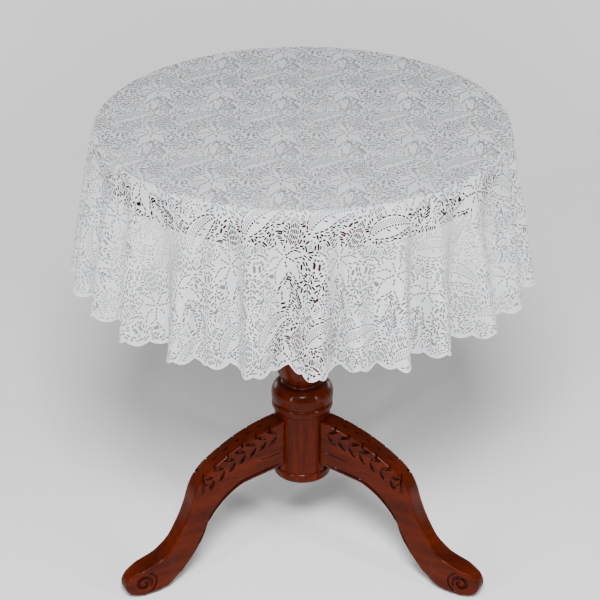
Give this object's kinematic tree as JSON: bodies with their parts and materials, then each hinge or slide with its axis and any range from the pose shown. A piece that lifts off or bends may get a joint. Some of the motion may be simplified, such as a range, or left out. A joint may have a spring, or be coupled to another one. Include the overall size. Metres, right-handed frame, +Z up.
{
  "type": "tablecloth on a table",
  "caption": "Round white lace tablecloth with a scalloped hem, draped in folds over a small round pedestal table with a turned column and carved scroll-foot legs.",
  "frame": {"origin": "on the column's axis, at the floor that the glides stand on", "axes": "+Z up; -Y towards the front, midway between the left and right legs; the rear leg points along +Y"},
  "size_m": [0.7, 0.7, 0.7316],
  "materials": {
    "lace": "knitted lace, soft and slightly lustrous",
    "slab_stone": "honed pale marble",
    "stained_wood": "red mahogany stain under gloss lacquer",
    "clear_bumper": "translucent soft bumper",
    "bright_steel": "zinc plated",
    "black_steel": "black painted",
    "glide_nylon": "satin"
  },
  "bodies": {
    "table": {"stone_top": "slab_stone", "slab_pads": "clear_bumper", "apron_ring": "stained_wood", "rail_long": "stained_wood", "rail_short": "stained_wood", "rail_screws": "bright_steel", "top_plate": "black_steel", "plate_screws": "bright_steel", "base_cap": "stained_wood", "column_shaft": "stained_wood", "column_collar": "stained_wood", "column_baluster": "stained_wood", "tie_rod": "bright_steel", "tie_nut_top": "bright_steel", "tie_washer_top": "bright_steel", "tie_nut_bottom": "bright_steel", "tie_washer_bottom": "bright_steel", "leg_left": "stained_wood", "leg_right": "stained_wood", "leg_rear": "stained_wood", "foot_glide_left": "glide_nylon", "foot_glide_right": "glide_nylon", "foot_glide_rear": "glide_nylon"},
    "cloth": {"lace_cloth": "lace"}
  },
  "joints": [
    {"name": "cloth_lift", "type": "slide", "parent": "table", "child": "cloth", "axis": [0, 0, 1], "range_m": [0, 0.3]}
  ]
}
